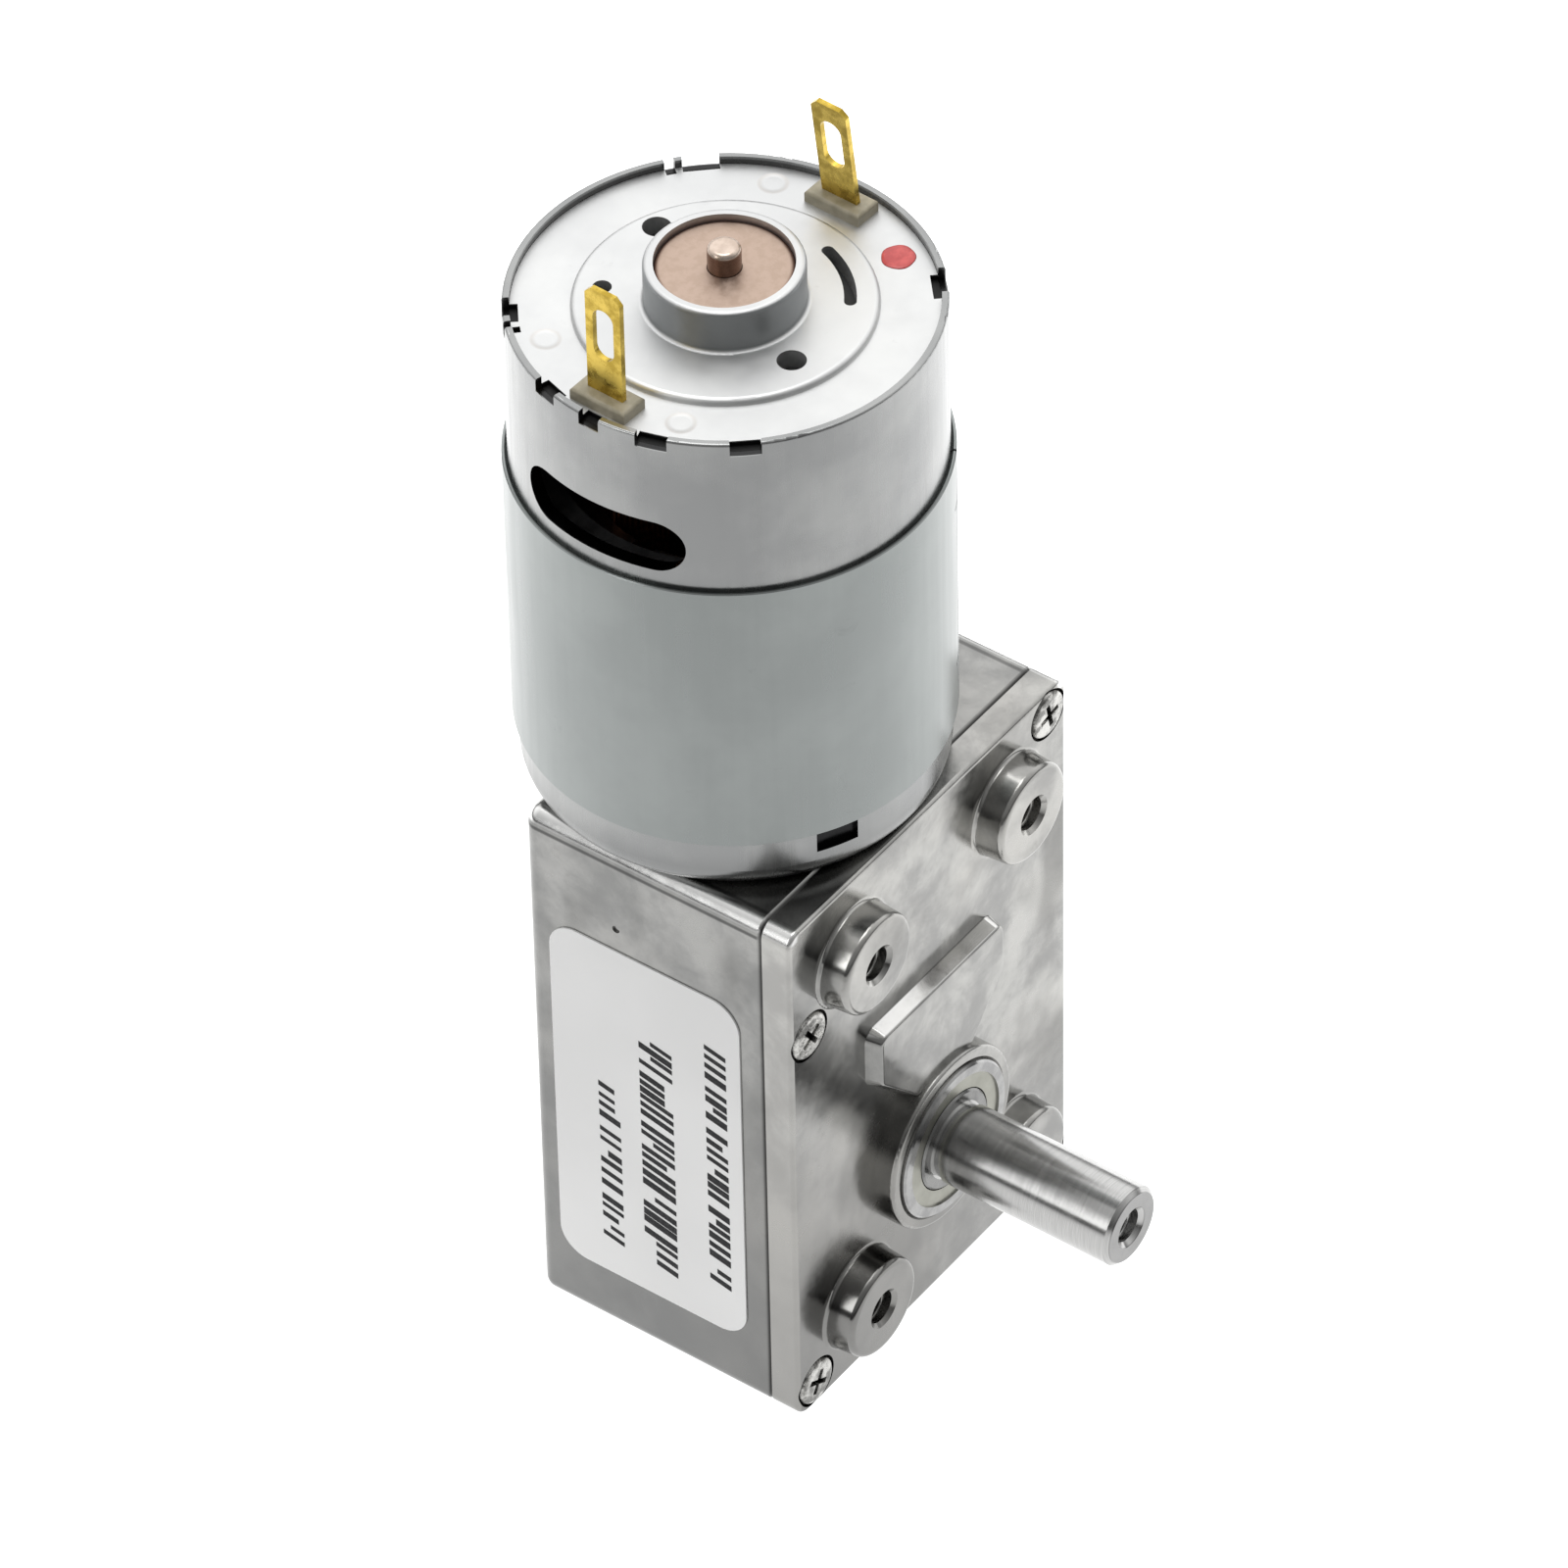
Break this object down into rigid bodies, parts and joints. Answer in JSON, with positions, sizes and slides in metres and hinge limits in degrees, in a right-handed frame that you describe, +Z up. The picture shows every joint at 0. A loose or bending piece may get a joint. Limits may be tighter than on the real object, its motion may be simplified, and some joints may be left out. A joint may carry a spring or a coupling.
{
  "type": "geared dc motor",
  "caption": "Right-angle worm gearbox with a round brushed DC motor on its end, ball-bearing output shaft with a tapped end and tapped mounting bosses.",
  "frame": {"origin": "centre of the four tapped mounting holes, on the plane of their bosses' faces", "axes": "+Z up along the motor's axis, away from the gearbox; -Y out along the output shaft; +X to the right when looking at the shaft's end"},
  "size_m": [0.0335, 0.0462, 0.0949],
  "materials": {
    "cast_zinc": "die-cast, satin",
    "tin_plate": "bright tin plate, soft sheen",
    "ground_steel": "fine turned",
    "screw_steel": "zinc plated",
    "gear_steel": "sintered, oiled",
    "bearing_steel": "polished",
    "shield_steel": "pressed, satin",
    "cage_steel": "pressed",
    "brass": "bright, stamped",
    "bronze": "sintered, oil-filled",
    "copper": "drawn",
    "copper_bush": "sintered copper, matte",
    "holder_plastic": "moulded",
    "sleeve_plastic": "moulded",
    "wheel_brass": "hobbed",
    "carbon": "pressed carbon",
    "ferrite": "sintered",
    "lamination": "stamped",
    "spacer_plastic": "moulded",
    "label_paper": "satin paper"
  },
  "bodies": {
    "root": {"gearbox_housing": "cast_zinc", "gearbox_cover": "cast_zinc", "cover_screws": "screw_steel", "label": "label_paper", "bearing_outer_ring": "bearing_steel", "bearing_shields": "shield_steel", "rear_bush": "bronze", "first_gear_pin": "ground_steel", "second_gear_pin": "ground_steel", "motor_screws": "screw_steel", "motor_can": "tin_plate", "flux_ring": "tin_plate", "end_plate": "tin_plate", "motor_front_bush": "bronze", "motor_rear_bush": "copper_bush", "brush_holder": "holder_plastic", "carbon_brushes": "carbon", "brush_arms": "copper", "terminal_negative": "brass", "terminal_positive": "brass", "magnet_north": "ferrite", "magnet_south": "ferrite", "magnet_springs": "ground_steel"},
    "rotor": {"rotor_shaft": "ground_steel", "rotor_stack": "lamination", "rotor_windings": "copper", "rotor_spacers": "spacer_plastic", "commutator_sleeve": "sleeve_plastic", "commutator_segments": "copper", "worm": "wheel_brass"},
    "first_gear": {"worm_wheel": "wheel_brass", "first_pinion": "gear_steel"},
    "idler": {"second_gear": "gear_steel", "second_pinion": "gear_steel"},
    "output": {"output_shaft": "ground_steel", "output_gear": "gear_steel", "retaining_ring": "gear_steel", "bearing_inner_ring": "bearing_steel"},
    "bearing_set": {"bearing_balls": "bearing_steel", "bearing_cage": "cage_steel"}
  },
  "joints": [
    {"name": "rotor_spin", "type": "hinge", "parent": "root", "child": "rotor", "pos_m": [-0.0024, 0.0166, 0.043], "axis": [0, 0, 1], "continuous": true},
    {"name": "first_gear_spin", "type": "hinge", "parent": "root", "child": "first_gear", "pos_m": [0.0066, 0.0166, 0.0135], "axis": [0, -1, 0], "continuous": true},
    {"name": "idler_spin", "type": "hinge", "parent": "root", "child": "idler", "pos_m": [-0.00256, 0.0116, 0.00698], "axis": [0, -1, 0], "continuous": true},
    {"name": "output_spin", "type": "hinge", "parent": "root", "child": "output", "pos_m": [0, 0, -0.0075], "axis": [0, -1, 0], "continuous": true},
    {"name": "bearing_set_spin", "type": "hinge", "parent": "root", "child": "bearing_set", "pos_m": [0, 0.0023, -0.0075], "axis": [0, -1, 0], "continuous": true}
  ],
  "couplings": [
    {"joint": "first_gear_spin", "follows": "rotor_spin", "ratio": 0.05},
    {"joint": "idler_spin", "follows": "rotor_spin", "ratio": -0.018182},
    {"joint": "output_spin", "follows": "rotor_spin", "ratio": 0.0072727},
    {"joint": "bearing_set_spin", "follows": "rotor_spin", "ratio": 0.0029899}
  ]
}
